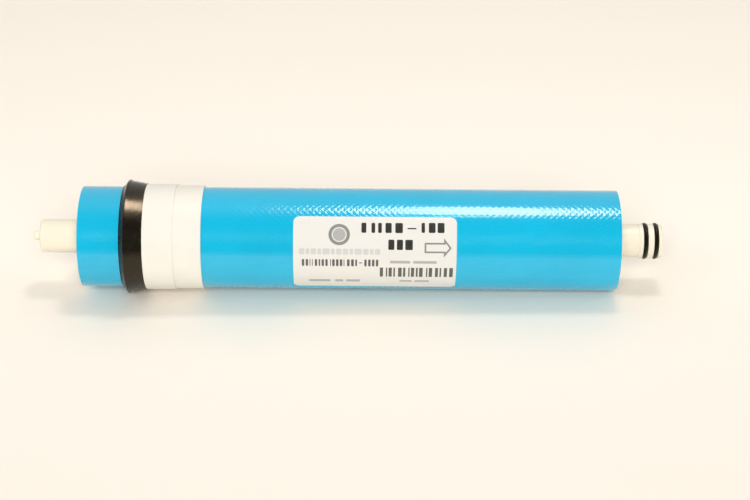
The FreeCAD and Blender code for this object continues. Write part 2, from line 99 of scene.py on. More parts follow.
@dataclass
class Wiring:
    """Builds the nodes of one material or of the world."""

    tree: bpy.types.NodeTree

    def __post_init__(self) -> None:
        """Clear the nodes that Blender puts in."""
        self.tree.nodes.clear()

    def add(self, kind: str, **settings: object) -> Node:
        """Add a node.

        Args:
            kind: Blender's identifier of the node's type.
            settings: Properties to set on the node.

        Returns:
            The new node.
        """
        node = self.tree.nodes.new(kind)
        for name, value in settings.items():
            setattr(node, name, value)
        return node

    def feed(self, socket: Socket, value: object) -> None:
        """Give an input a link or a plain value.

        Args:
            socket: The input to feed.
            value: Another node's output, or a number, vector or colour.
        """
        if isinstance(value, Socket):
            self.tree.links.new(value, socket)
        elif isinstance(value, (int, float)):
            socket.default_value = value
        else:
            wanted = len(socket.default_value)
            socket.default_value = (*value, 1.0)[:wanted]

    def maths(self, operation: str, *values: object, kind: str = "ShaderNodeMath") -> Socket:
        """Add a Math node.

        Args:
            operation: The node's operation, such as "ADD".
            values: Its inputs, in order.
            kind: The node's type, where it is another one that works alike.

        Returns:
            Its result.
        """
        node = self.add(kind, operation=operation)
        for socket, value in zip(node.inputs, values):
            self.feed(socket, value)
        return node.outputs[0]

    def vector_maths(self, operation: str, *values: object) -> Socket:
        """Add a Vector Math node."""
        return self.maths(operation, *values, kind="ShaderNodeVectorMath")

    def lifted(self, wave: Socket) -> Socket:
        """Bring a wave between -1 and 1 to between 0 and 1."""
        return self.maths("MULTIPLY_ADD", wave, 0.5, 0.5)

    def noise(
        self, vector: Socket, scale: float, detail: float = 3.0, roughness: float = 0.5
    ) -> Socket:
        """Add smooth noise.

        Args:
            vector: Where the noise is read.
            scale: Features in a metre.
            detail: Finer layers on top.
            roughness: Share of the finer layers.

        Returns:
            The noise, about 0.5 on average.
        """
        node = self.add("ShaderNodeTexNoise")
        self.feed(node.inputs["Vector"], vector)
        self.feed(node.inputs["Scale"], scale)
        self.feed(node.inputs["Detail"], detail)
        self.feed(node.inputs["Roughness"], roughness)
        return node.outputs["Fac"]

    def remap(self, value: object, source: Span, target: Span) -> Socket:
        """Map one range of numbers onto another, held at its ends.

        Args:
            value: What is mapped.
            source: Its range.
            target: The range that comes out.

        Returns:
            The mapped value.
        """
        node = self.add("ShaderNodeMapRange")
        for socket, number in zip(node.inputs, (value, *source, *target)):
            self.feed(socket, number)
        return node.outputs["Result"]

    def blend(
        self, share: object, first: object, second: object, kind: Blend = Blend.RGBA
    ) -> Socket:
        """Mix two colours or two vectors.

        Args:
            share: How much of the second one.
            first: What comes out at 0.
            second: What comes out at 1.
            kind: Whether they are colours or vectors.

        Returns:
            The mixture.
        """
        node = self.add("ShaderNodeMix", data_type=kind.name)
        first_place, second_place, result_place = kind.value
        self.feed(node.inputs["Factor"], share)
        self.feed(node.inputs[first_place], first)
        self.feed(node.inputs[second_place], second)
        return node.outputs[result_place]

    def mottle(
        self, noise: Socket, span: Span, first: object, second: object, most: float = 1.0
    ) -> Socket:
        """Mix two colours in patches.

        Args:
            noise: Where the patches lie.
            span: The noise at which the second colour starts, and at which it is full.
            first: The colour outside the patches.
            second: The colour of the patches.
            most: The greatest share of the second colour.

        Returns:
            The mixed colour.
        """
        return self.blend(self.remap(noise, span, (0.0, most)), first, second)

    def bump(self, height: Socket, depth: float, under: Socket | None = None) -> Socket:
        """Raise a surface by a height pattern.

        Args:
            height: The pattern, from 0 to 1.
            depth: How far 1 stands above 0, in metres.
            under: A coarser bump that this one lies on.

        Returns:
            The bumped normal.
        """
        node = self.add("ShaderNodeBump")
        self.feed(node.inputs["Strength"], 1.0)
        self.feed(node.inputs["Distance"], depth)
        self.feed(node.inputs["Height"], height)
        if under is not None:
            self.feed(node.inputs["Normal"], under)
        return node.outputs["Normal"]

    def place(self, scale: Sequence[float] = (1.0, 1.0, 1.0)) -> Socket:
        """Read the place on the object.

        Args:
            scale: Stretch of the pattern along each axis.

        Returns:
            The place in metres, stretched.
        """
        mapping = self.add("ShaderNodeMapping")
        self.feed(mapping.inputs["Vector"], self.add("ShaderNodeTexCoord").outputs["Object"])
        mapping.inputs["Scale"].default_value = scale
        return mapping.outputs["Vector"]

    def split(self, vector: Socket) -> tuple[Socket, Socket, Socket]:
        """Take a vector apart.

        Args:
            vector: The vector.

        Returns:
            Its parts along X, Y and Z.
        """
        parts = self.add("ShaderNodeSeparateXYZ")
        self.feed(parts.inputs[0], vector)
        return tuple(parts.outputs)

    def around(self) -> tuple[Socket, Socket, Socket]:
        """Read the place on the roll as it is wound.

        Returns:
            The distance along X, the angle round X with 0 at the front, and the distance
            from the axis.
        """
        along, depth, height = self.split(self.add("ShaderNodeTexCoord").outputs["Object"])
        angle = self.maths("ARCTAN2", height, self.maths("MULTIPLY", depth, -1.0))
        depth_squared = self.maths("MULTIPLY", depth, depth)
        square = self.maths("ADD", depth_squared, self.maths("MULTIPLY", height, height))
        return along, angle, self.maths("SQRT", square)


@dataclass(frozen=True)
class Finish:
    """A finish of one material."""

    name: str
    colour: Colour
    roughness: float

    def material(self) -> bpy.types.Material:
        """Make the finish's material.

        Returns:
            The material, ready to be given to a piece.
        """
        material = bpy.data.materials.new(self.name)
        material.use_nodes = True
        material.diffuse_color = (*self.colour, 1.0)
        wiring = Wiring(material.node_tree)
        shader = wiring.add("ShaderNodeBsdfPrincipled")
        output = wiring.add("ShaderNodeOutputMaterial")
        wiring.feed(shader.inputs["Base Color"], self.colour)
        wiring.feed(shader.inputs["Roughness"], self.roughness)
        self.detail(wiring, shader)
        wiring.feed(output.inputs["Surface"], shader.outputs[0])
        return material

    def detail(self, wiring: Wiring, shader: Node) -> None:
        """Add what makes this finish more than a plain colour.

        Args:
            wiring: The material's nodes.
            shader: Its shader.
        """
        raise NotImplementedError

    def tone(self, factor: float) -> Colour:
        """Make the finish's colour lighter or darker by a factor."""
        return tuple(min(1.0, channel * factor) for channel in self.colour)

    def vary_roughness(self, wiring: Wiring, shader: Node, noise: Socket, by: Span) -> None:
        """Let the roughness follow a noise.

        Args:
            wiring: The material's nodes.
            shader: Its shader.
            noise: The noise.
            by: What is added to the roughness where the noise is low and where it is high.
        """
        target = (self.roughness + by[0], self.roughness + by[1])
        wiring.feed(shader.inputs["Roughness"], wiring.remap(noise, NOISE_SPAN, target))


@dataclass(frozen=True)
class WrapFilm(Finish):
    """Glossy tape wound tight over the last turn of net, whose diamonds show through."""

    diamond_length: float = 0.00293
    diamonds_round: int = 52
    imprint: float = 0.000037
    waver: float = 3.0
    ridge_power: float = 2.0
    crossing_blend: float = 0.3
    lap_angle: float = 2.55
    lap_width: float = 0.012
    lap_height: float = 0.00008
    slack_height: float = 0.00008

    def net(self, wiring: Wiring) -> Socket:
        """Draw the two families of net strands under the film.

        Args:
            wiring: The material's nodes.

        Returns:
            A height pattern, 1 on the strands.
        """
        along, angle, _ = wiring.around()
        waver = wiring.noise(wiring.place(), scale=60.0, detail=2.0)
        run = wiring.maths("MULTIPLY", along, 2 * math.pi / self.diamond_length)
        run = wiring.maths("ADD", run, wiring.maths("MULTIPLY", waver, self.waver))
        turn = wiring.maths("MULTIPLY", angle, float(self.diamonds_round))
        ridges = []
        for operation in ("ADD", "SUBTRACT"):
            wave = wiring.maths("COSINE", wiring.maths(operation, run, turn))
            ridges.append(wiring.maths("POWER", wiring.lifted(wave), self.ridge_power))
        return wiring.maths("SMOOTH_MAX", *ridges, self.crossing_blend)

    def detail(self, wiring: Wiring, shader: Node) -> None:
        """Add the net imprint, the lapped edge at the back and slight changes of tone.

        Args:
            wiring: The material's nodes.
            shader: Its shader.
        """
        strands = self.net(wiring)
        _, angle, _ = wiring.around()
        lap = wiring.remap(angle, (self.lap_angle - self.lap_width, self.lap_angle), (0.0, 1.0))
        slack = wiring.noise(wiring.place((0.35, 1.0, 1.0)), scale=55.0, detail=2.0)
        normal = wiring.bump(slack, self.slack_height)
        normal = wiring.bump(lap, self.lap_height, normal)
        normal = wiring.bump(strands, self.imprint, normal)
        cloud = wiring.noise(wiring.place(), scale=35.0, detail=4.0)
        tone = wiring.mottle(cloud, NOISE_SPAN, self.tone(0.95), self.tone(1.04))
        tone = wiring.blend(wiring.maths("MULTIPLY", strands, 0.10), tone, self.tone(1.25))
        smears = wiring.noise(wiring.place((0.5, 1.0, 1.0)), scale=220.0, detail=4.0, roughness=0.6)
        wiring.feed(shader.inputs["Base Color"], tone)
        self.vary_roughness(wiring, shader, smears, (-0.02, 0.03))
        wiring.feed(shader.inputs["Normal"], normal)
        wiring.feed(shader.inputs["Coat Normal"], normal)
        shader.inputs["IOR"].default_value = 1.52
        shader.inputs["Coat Weight"].default_value = 0.4
        shader.inputs["Coat Roughness"].default_value = 0.06


@dataclass(frozen=True)
class VinylTape(Finish):
    """White tape with the faint ripples of stretched vinyl."""

    bulge_height: float = 0.00022
    ripple_height: float = 0.00002

    def detail(self, wiring: Wiring, shader: Node) -> None:
        """Add ripples round the roll and a slight change of tone.

        Args:
            wiring: The material's nodes.
            shader: Its shader.
        """
        ripples = wiring.noise(wiring.place((1.0, 0.25, 0.25)), scale=420.0, roughness=0.55)
        bulges = wiring.noise(wiring.place(), scale=70.0, detail=2.0)
        normal = wiring.bump(bulges, self.bulge_height)
        normal = wiring.bump(ripples, self.ripple_height, normal)
        grime = wiring.noise(wiring.place(), scale=90.0, detail=5.0, roughness=0.6)
        tone = wiring.mottle(grime, (0.35, 0.75), self.colour, self.tone(0.965))
        wiring.feed(shader.inputs["Base Color"], tone)
        self.vary_roughness(wiring, shader, ripples, (-0.05, 0.06))
        wiring.feed(shader.inputs["Normal"], normal)


@dataclass(frozen=True)
class Rubber(Finish):
    """Black moulded rubber with a soft sheen and a fine bloom."""

    grain_height: float = 0.000003
    gleam: Colour = (1.0, 0.80, 0.58)

    def detail(self, wiring: Wiring, shader: Node) -> None:
        """Add a fine moulded grain and patches of bloom.

        Args:
            wiring: The material's nodes.
            shader: Its shader.
        """
        grain = wiring.noise(wiring.place(), scale=2600.0, detail=2.0)
        bloom = wiring.noise(wiring.place(), scale=160.0, detail=4.0, roughness=0.6)
        tone = wiring.mottle(bloom, (0.4, 0.75), self.colour, self.tone(1.5))
        normal = wiring.bump(grain, self.grain_height, self.outward(wiring))
        wiring.feed(shader.inputs["Base Color"], tone)
        self.vary_roughness(wiring, shader, bloom, (-0.06, 0.08))
        wiring.feed(shader.inputs["Normal"], normal)
        wiring.feed(shader.inputs["Specular Tint"], self.gleam)

    def outward(self, wiring: Wiring) -> Socket | None:
        """Say which way the surface faces, or None for its own shape."""
        return None


@dataclass(frozen=True)
class SealRubber(Rubber):
    """Rubber of the brine seal, whose soft ribs run together in its sheen."""

    ribs_from: Span = (-0.1043, -0.1036)
    slope: float = 0.19
    evenness: float = 0.9

    def outward(self, wiring: Wiring) -> Socket:
        """Turn the ribs' faces most of the way to the plain cone that they stand on.

        Args:
            wiring: The material's nodes.

        Returns:
            The direction that the surface faces.
        """
        along, depth, height = wiring.split(wiring.place())
        share = wiring.remap(along, self.ribs_from, (0.0, self.evenness))
        radial = wiring.add("ShaderNodeCombineXYZ")
        wiring.feed(radial.inputs["Y"], depth)
        wiring.feed(radial.inputs["Z"], height)
        straight = wiring.vector_maths("NORMALIZE", radial.outputs[0])
        leaning = wiring.vector_maths("ADD", straight, (self.slope, 0.0, 0.0))
        own = wiring.add("ShaderNodeNewGeometry").outputs["Normal"]
        return wiring.vector_maths("NORMALIZE", wiring.blend(share, own, leaning, Blend.VECTOR))


@dataclass(frozen=True)
class NaturalPlastic(Finish):
    """Moulded natural plastic that lets a little light in."""

    mark_pitch: float = 0.00042
    mark_height: float = 0.0000025
    flow_height: float = 0.00006
    light_depth: Colour = (0.0022, 0.0018, 0.0012)

    def detail(self, wiring: Wiring, shader: Node) -> None:
        """Add turning marks, flow marks and a slightly deeper tone in patches.

        Args:
            wiring: The material's nodes.
            shader: Its shader.
        """
        along, _, _ = wiring.around()
        marks = wiring.maths("SINE", wiring.maths("MULTIPLY", along, 2 * math.pi / self.mark_pitch))
        flow = wiring.noise(wiring.place((0.3, 1.0, 1.0)), scale=130.0)
        specks = wiring.noise(wiring.place(), scale=900.0, detail=2.0)
        normal = wiring.bump(flow, self.flow_height)
        normal = wiring.bump(wiring.lifted(marks), self.mark_height, normal)
        tone = wiring.mottle(flow, (0.35, 0.7), self.colour, self.tone(0.95))
        tone = wiring.mottle(specks, (0.66, 0.72), tone, self.tone(0.6), most=0.10)
        wiring.feed(shader.inputs["Base Color"], tone)
        self.vary_roughness(wiring, shader, flow, (-0.04, 0.06))
        wiring.feed(shader.inputs["Normal"], normal)
        shader.inputs["Subsurface Weight"].default_value = 0.25
        shader.inputs["Subsurface Radius"].default_value = self.light_depth
        shader.inputs["Subsurface Scale"].default_value = 1.0


@dataclass(frozen=True)
class LabelStock(Finish):
    """Coated paper label."""

    wave_height: float = 0.00012
    fibre_height: float = 0.000004

    def detail(self, wiring: Wiring, shader: Node) -> None:
        """Add paper fibre and slight waves from the net under the label.

        Args:
            wiring: The material's nodes.
            shader: Its shader.
        """
        fibre = wiring.noise(wiring.place((1.0, 0.4, 0.4)), scale=3000.0, roughness=0.6)
        waves = wiring.noise(wiring.place(), scale=120.0, detail=2.0)
        normal = wiring.bump(waves, self.wave_height)
        normal = wiring.bump(fibre, self.fibre_height, normal)
        tone = wiring.mottle(fibre, (0.35, 0.7), self.colour, self.tone(0.97))
        wiring.feed(shader.inputs["Base Color"], tone)
        self.vary_roughness(wiring, shader, waves, (-0.04, 0.04))
        wiring.feed(shader.inputs["Normal"], normal)


@dataclass(frozen=True)
class PrintInk(Finish):
    """Ink printed on the label, slightly broken up by the paper."""

    paper: Colour = (0.7, 0.7, 0.68)

    def detail(self, wiring: Wiring, shader: Node) -> None:
        """Let the paper's fibre show in the ink.

        Args:
            wiring: The material's nodes.
            shader: Its shader.
        """
        fibre = wiring.noise(wiring.place(), scale=5000.0, roughness=0.65)
        tone = wiring.mottle(fibre, (0.45, 0.8), self.colour, self.paper, most=0.16)
        wiring.feed(shader.inputs["Base Color"], tone)
        self.vary_roughness(wiring, shader, fibre, (0.0, 0.1))


@dataclass(frozen=True)
class WovenCloth(Finish):
    """Knitted polyester cloth that carries the permeate."""

    pitch: float = 0.00045
    weave_height: float = 0.00005

    def detail(self, wiring: Wiring, shader: Node) -> None:
        """Add the cloth's ribs and threads.

        Args:
            wiring: The material's nodes.
            shader: Its shader.
        """
        along, angle, radius = wiring.around()
        turns = 2 * math.pi / self.pitch
        ribs = wiring.maths("SINE", wiring.maths("MULTIPLY", along, turns))
        arc = wiring.maths("MULTIPLY", angle, radius)
        threads = wiring.maths("SINE", wiring.maths("MULTIPLY", arc, turns))
        weave = wiring.lifted(wiring.maths("MULTIPLY", ribs, threads))
        fuzz = wiring.noise(wiring.place(), scale=6000.0, detail=2.0)
        tone = wiring.mottle(weave, (0.0, 1.0), self.tone(0.72), self.colour, most=0.6)
        tone = wiring.mottle(fuzz, (0.35, 0.7), tone, self.tone(1.1), most=0.3)
        wiring.feed(shader.inputs["Base Color"], tone)
        wiring.feed(shader.inputs["Normal"], wiring.bump(weave, self.weave_height))


@dataclass(frozen=True)
class MembraneSheet(Finish):
    """Smooth white membrane sheet, with a matt backing."""

    cast_height: float = 0.00002

    def detail(self, wiring: Wiring, shader: Node) -> None:
        """Add the faint mottling of a cast film.

        Args:
            wiring: The material's nodes.
            shader: Its shader.
        """
        cast = wiring.noise(wiring.place(), scale=400.0, detail=4.0, roughness=0.6)
        tone = wiring.mottle(cast, NOISE_SPAN, self.colour, self.tone(0.93))
        wiring.feed(shader.inputs["Base Color"], tone)
        self.vary_roughness(wiring, shader, cast, (-0.05, 0.05))
        wiring.feed(shader.inputs["Normal"], wiring.bump(cast, self.cast_height))


@dataclass(frozen=True)
class NetPlastic(Finish):
    """Extruded net, clear on its strands, with painted shade in the gaps between them."""

    strand_pitch: float = 0.002
    strand_height: float = 0.00025
    ridge_power: float = 4.0
    painted_gap_shade: float = 0.7

    def detail(self, wiring: Wiring, shader: Node) -> None:
        """Draw the strands and the painted shade in the gaps between them.

        Args:
            wiring: The material's nodes.
            shader: Its shader.
        """
        along, angle, radius = wiring.around()
        arc = wiring.maths("MULTIPLY", angle, radius)
        ridges = []
        for operation in ("ADD", "SUBTRACT"):
            slant = wiring.maths(operation, along, arc)
            run = wiring.maths("MULTIPLY", slant, math.pi / self.strand_pitch)
            wave = wiring.maths("ABSOLUTE", wiring.maths("COSINE", run))
            ridges.append(wiring.maths("POWER", wave, self.ridge_power))
        strands = wiring.maths("MAXIMUM", *ridges)
        # painted shade: the gaps between the strands are darkened where the net's depth would lie
        # in shade
        tone = wiring.blend(strands, self.tone(1.0 - self.painted_gap_shade), self.colour)
        wiring.feed(shader.inputs["Base Color"], tone)
        wiring.feed(shader.inputs["Normal"], wiring.bump(strands, self.strand_height))


@dataclass(frozen=True)
class StrandPlastic(Finish):
    """Cut ends of the net's strands."""

    lump_height: float = 0.00003

    def detail(self, wiring: Wiring, shader: Node) -> None:
        """Vary the tone from strand to strand.

        Args:
            wiring: The material's nodes.
            shader: Its shader.
        """
        lumps = wiring.noise(wiring.place(), scale=700.0, detail=1.0)
        tone = wiring.mottle(lumps, (0.35, 0.65), self.tone(0.82), self.colour)
        wiring.feed(shader.inputs["Base Color"], tone)
        wiring.feed(shader.inputs["Normal"], wiring.bump(lumps, self.lump_height))


@dataclass(frozen=True)
class StudioPaper(Finish):
    """Pale matt paper of the floor, with painted shade that darkens it towards the front."""

    painted_falloff: float = 0.88
    painted_falloff_over: Span = (-0.16, 0.05)

    def detail(self, wiring: Wiring, shader: Node) -> None:
        """Add a very faint mottling and painted shade that darkens the paper slowly from back to
        front.

        Args:
            wiring: The material's nodes.
            shader: Its shader.
        """
        cloud = wiring.noise(wiring.place(), scale=3.0)
        _, depth, _ = wiring.split(wiring.place())
        nearness = wiring.remap(depth, self.painted_falloff_over, (1.0, 0.0))
        # painted shade: the paper is darkened towards the front, where less light falls
        tone = wiring.blend(nearness, self.colour, self.tone(self.painted_falloff))
        tone = wiring.blend(wiring.maths("MULTIPLY", cloud, 0.2), tone, self.tone(0.95))
        wiring.feed(shader.inputs["Base Color"], tone)
        shader.inputs["Specular IOR Level"].default_value = 0.0


# Tools that the pieces share


def deselect() -> None:
    """Deselect every object."""
    bpy.ops.object.select_all(action="DESELECT")


def take(piece: Piece) -> None:
    """Select one object alone and make it the active one."""
    deselect()
    piece.select_set(True)
    bpy.context.view_layer.objects.active = piece


def deselect_mesh() -> None:
    """Deselect all of the active object's mesh."""
    bpy.ops.object.mode_set(mode="EDIT")
    bpy.ops.mesh.select_all(action="DESELECT")
    bpy.ops.object.mode_set(mode="OBJECT")


def settle(piece: Piece) -> None:
    """Put an object's place, turn and size into its mesh."""
    take(piece)
    bpy.ops.object.transform_apply(location=True, rotation=True, scale=True)


def join(parts: Sequence[Piece], name: str) -> Piece:
    """Join several objects into one.

    Args:
        parts: The objects, whose places are in their meshes.
        name: The name of the joined piece.

    Returns:
        The joined piece.
    """
    deselect()
    for part in parts:
        part.select_set(True)
    bpy.context.view_layer.objects.active = parts[0]
    bpy.ops.object.join()
    parts[0].name = name
    parts[0].data.name = name
    return parts[0]


def dress(piece: Piece, material: bpy.types.Material) -> None:
    """Give every face of a piece one material."""
    piece.data.materials.clear()
    piece.data.materials.append(material)


def publish(piece: Piece, material: bpy.types.Material) -> None:
    """Dress a new piece, tie it to the element and report it.

    Args:
        piece: The new piece.
        material: Its material.
    """
    dress(piece, material)
    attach(piece, ROOT)
    LOG.info("%s: %d faces", piece.name, len(piece.data.polygons))


def dress_nodes(names: Iterable[str], finish: Finish) -> None:
    """Give carried-over solids one finish through their slots.

    Args:
        names: The solids' names.
        finish: The finish for all of them.
    """
    material = finish.material()
    for name in names:
        dress(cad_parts[name], material)
        LOG.info("%s dressed in %s", name, material.name)


# The label


@dataclass
class FlatPrint:
    """Draws flat print shapes across and up from the label's middle, facing -Y."""

    step: float = 0.0008
    block_rounding: float = 0.2
    most_rounding: float = 0.0006
    slack: float = 1e-7
    sliver: float = 1e-6
    disc_sides: int = 48
    upright: tuple[float, float, float] = (math.pi / 2, 0.0, 0.0)
    parts: list[Piece] = field(default_factory=list)

    def bar(self, across: Span, up: Span, corner: float = 0.0) -> None:
        """Print one filled bar.

        Args:
            across: Its left and right edges.
            up: Its lower and upper edges.
            corner: The rounding of its corners.
        """
        height = up[1] - up[0]
        deselect()
        bpy.ops.mesh.primitive_grid_add(
            x_subdivisions=1,
            y_subdivisions=max(1, round(height / self.step)),
            size=1.0,
            location=((across[0] + across[1]) / 2, 0.0, (up[0] + up[1]) / 2),
            rotation=self.upright,
        )
        piece = bpy.context.object
        piece.scale = (across[1] - across[0], height, 1.0)
        settle(piece)
        if corner > 0.0:
            self.round_corners(piece, corner)
        self.parts.append(piece)

    def round_corners(self, piece: Piece, corner: float) -> None:
        """Bevel a bar's four outer corners.

        Args:
            piece: The bar.
            corner: The rounding.
        """
        points = [vertex.co for vertex in piece.data.vertices]
        sides = (min(point.x for point in points), max(point.x for point in points))
        edges = (min(point.z for point in points), max(point.z for point in points))
        take(piece)
        deselect_mesh()
        for vertex in piece.data.vertices:
            at_side = min(abs(vertex.co.x - side) for side in sides) < self.slack
            at_edge = min(abs(vertex.co.z - edge) for edge in edges) < self.slack
            vertex.select = at_side and at_edge
        bpy.ops.object.mode_set(mode="EDIT")
        bpy.ops.mesh.bevel(offset=corner, segments=3, affect="VERTICES")
        bpy.ops.object.mode_set(mode="OBJECT")

    def words(self, across: Span, up: Span, shares: Sequence[float], gap: float) -> None:
        """Print a row of plain blocks in place of a line of print.

        Args:
            across: The row's left and right ends.
            up: Its lower and upper edges.
            shares: The blocks' relative widths.
            gap: The room between two blocks.
        """
        room = across[1] - across[0] - gap * (len(shares) - 1)
        corner = min(self.block_rounding * (up[1] - up[0]), self.most_rounding)
        start = across[0]
        for share in shares:
            width = room * share / sum(shares)
            self.bar((start, start + width), up, corner)
            start += width + gap

    def disc(self, middle: Span, outer: float, inner: float | None = None) -> None:
        """Print a disc, or a ring where an inner radius is given.

        Args:
            middle: Where it is, across and up.
            outer: Its outer radius.
            inner: Its inner radius, if it has one.
        """
        deselect()
        bpy.ops.mesh.primitive_circle_add(
            vertices=self.disc_sides,
            radius=outer,
            fill_type="TRIFAN",
            location=(middle[0], 0.0, middle[1]),
            rotation=self.upright,
        )
        piece = bpy.context.object
        settle(piece)
        thickness = outer / 2 if inner is None else outer - inner
        bpy.ops.object.mode_set(mode="EDIT")
        bpy.ops.mesh.select_all(action="SELECT")
        bpy.ops.mesh.inset(thickness=thickness, use_boundary=True)
        if inner is not None:
            bpy.ops.mesh.delete(type="FACE")
        bpy.ops.object.mode_set(mode="OBJECT")
        self.parts.append(piece)

    def arrow(self, across: Span, up: Span, shaft: float, head: float, line: float) -> None:
        """Print the outline of a flow arrow that points right.

        Args:
            across: Its tail and its tip.
            up: The lower and upper corners of its head.
            shaft: The height of its shaft.
            head: The length of its head.
            line: The thickness of its outline.
        """
        middle = (up[0] + up[1]) / 2
        neck = across[1] - head
        length = neck - across[0]
        deselect()
        bpy.ops.mesh.primitive_plane_add(
            size=1.0, location=(across[0] + length / 2, 0.0, middle), rotation=self.upright
        )
        piece = bpy.context.object
        piece.scale = (length, shaft, 1.0)
        settle(piece)
        deselect_mesh()
        for edge in piece.data.edges:
            ends = [piece.data.vertices[index].co.x for index in edge.vertices]
            edge.select = min(ends) > neck - self.slack
        bpy.ops.object.mode_set(mode="EDIT")
        bpy.ops.mesh.extrude_region_move(
            TRANSFORM_OT_translate={"value": (self.sliver, 0.0, 0.0)}
        )
        bpy.ops.transform.resize(
            value=(1.0, 1.0, (up[1] - up[0]) / shaft), center_override=(neck, 0.0, middle)
        )
        bpy.ops.mesh.extrude_region_move(TRANSFORM_OT_translate={"value": (head, 0.0, 0.0)})
        bpy.ops.mesh.merge(type="CENTER")
        bpy.ops.mesh.select_all(action="SELECT")
        bpy.ops.mesh.dissolve_limited(angle_limit=0.001)
        bpy.ops.mesh.select_all(action="SELECT")
        bpy.ops.mesh.inset(thickness=line, use_boundary=True)
        bpy.ops.mesh.delete(type="FACE")
        bpy.ops.mesh.select_all(action="SELECT")
        bpy.ops.mesh.subdivide(number_cuts=3)
        bpy.ops.object.mode_set(mode="OBJECT")
        self.parts.append(piece)


@dataclass
class Label:
    """The paper label and its print of plain shapes."""

    lift: float = math.radians(6.0)
    print_stand: float = 0.00003
    ink_roughness: float = 0.42
    block_corner: float = 0.0005
    line_corner: float = 0.0004
    roundel_middle: Span = (-0.0167, 0.0112)
    stock: Finish = LabelStock("label_paper", (0.755, 0.735, 0.685), 0.38)

    def build(self) -> None:
        """Dress the label and print on it."""
        dress_nodes(["label"], self.stock)
        for name, ink, shapes in (
            ("label_print_black", Ink.BLACK, self.heading()),
            ("label_print_soft", Ink.SOFT_BLACK, self.small_print()),
            ("label_print_grey", Ink.GREY, self.ring_and_arrow()),
            ("label_print_faint", Ink.FAINT, self.faint_lines()),
            ("label_print_pale", Ink.PALE, self.pale_row()),
        ):
            piece = self.wrap(join(shapes.parts, name))
            finish = PrintInk(f"{name}_ink", ink.value, self.ink_roughness)
            publish(piece, finish.material())

    def heading(self) -> FlatPrint:
        """Print the two heavy rows.

        Returns:
            The flat shapes.
        """
        sheet = FlatPrint()
        lefts = (-0.0064, -0.0017, 0.0014, 0.0048, 0.0094)
        rights = (-0.0041, 0.0000, 0.0031, 0.0077, 0.0129)
        for across in zip(lefts, rights):
            sheet.bar(across, (0.0121, 0.0169), self.block_corner)
        sheet.bar((0.0151, 0.0192), (0.01395, 0.01455))
        for across in ((0.0216, 0.0232), (0.0250, 0.0281), (0.0291, 0.0323)):
            sheet.bar(across, (0.0123, 0.0171), self.block_corner)
        for across in ((0.0062, 0.0090), (0.0102, 0.0130), (0.0141, 0.0176)):
            sheet.bar(across, (0.0042, 0.0090), self.block_corner)
        return sheet

    def small_print(self) -> FlatPrint:
        """Print the medium row and the block of upright bars.

        Returns:
            The flat shapes.
        """
        sheet = FlatPrint()
        row = (-0.0044, -0.0006)
        sheet.words((-0.0341, -0.0290), row, (3, 3, 1, 1), 0.0007)
        sheet.words((-0.0280, -0.0220), row, (3, 2, 3, 3), 0.0007)
        sheet.words((-0.0209, -0.0142), row, (1, 3, 3, 3, 1), 0.0006)
        sheet.words((-0.0130, -0.0083), row, (3, 3, 2), 0.0007)
        sheet.bar((-0.0074, -0.0059), (-0.0027, -0.0022))
        sheet.words((-0.0049, 0.0016), row, (3, 3, 3, 3), 0.0007)
        widths = (14, 6, 14, 7, 16, 10, 6, 14, 8, 16, 6, 15, 13, 7, 14, 16)
        gaps = (13, 6, 7, 14, 6, 13, 6, 8, 6, 15, 6, 13, 7, 12, 10)
        start, end = 0.0024, 0.0366
        unit = (end - start) / (sum(widths) + sum(gaps))
        for width, gap in zip(widths, (*gaps, 0)):
            sheet.bar((start, start + width * unit), (-0.0106, -0.0049))
            start += (width + gap) * unit
        return sheet

    def ring_and_arrow(self) -> FlatPrint:
        """Print the roundel's ring and the flow arrow.

        Returns:
            The flat shapes.
        """
        sheet = FlatPrint()
        sheet.disc(self.roundel_middle, outer=0.0050, inner=0.0035)
        sheet.arrow((0.0231, 0.0357), (0.0006, 0.0099), shaft=0.0049, head=0.0036, line=0.0008)
        return sheet

    def faint_lines(self) -> FlatPrint:
        """Print the roundel's field and the small rows.

        Returns:
            The flat shapes.
        """
        sheet = FlatPrint()
        sheet.disc(self.roundel_middle, outer=0.0030)
        sheet.words((0.0071, 0.0289), (-0.0026, -0.0012), (6, 7), 0.0014)
        for across in ((-0.0309, -0.0208), (-0.0186, -0.0148), (-0.0134, -0.0069)):
            sheet.bar(across, (-0.0148, -0.0130), self.line_corner)
        sheet.words((0.0117, 0.0256), (-0.0146, -0.0132), (5, 6), 0.0014)
        return sheet

    def pale_row(self) -> FlatPrint:
        """Print the pale row of small blocks.

        Returns:
            The flat shapes.
        """
        sheet = FlatPrint()
        shares = (3, 2, 3, 2, 4, 2, 3, 3, 2, 4, 3, 2, 3)
        sheet.words((-0.0354, 0.0025), (0.0017, 0.0046), shares, 0.0006)
        return sheet

    def wrap(self, piece: Piece) -> Piece:
        """Bend a flat print round the roll, keep its lengths, and lay it on the label.

        Args:
            piece: The flat print.

        Returns:
            The same piece, in its place.
        """
        low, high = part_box("label")
        radius = -low.y + self.print_stand
        heights = [vertex.co.z for vertex in piece.data.vertices]
        take(piece)
        bend = piece.modifiers.new("bend", "SIMPLE_DEFORM")
        bend.deform_method = "BEND"
        bend.deform_axis = "X"
        bend.angle = (max(heights) - min(heights)) / radius
        bpy.ops.object.modifier_apply(modifier=bend.name)
        piece.data.transform(Matrix.Translation((0.0, -radius, 0.0)))
        piece.data.transform(Matrix.Rotation(-self.lift, 4, "X"))
        piece.data.transform(Matrix.Translation(((low.x + high.x) / 2, 0.0, 0.0)))
        return piece


# The roll


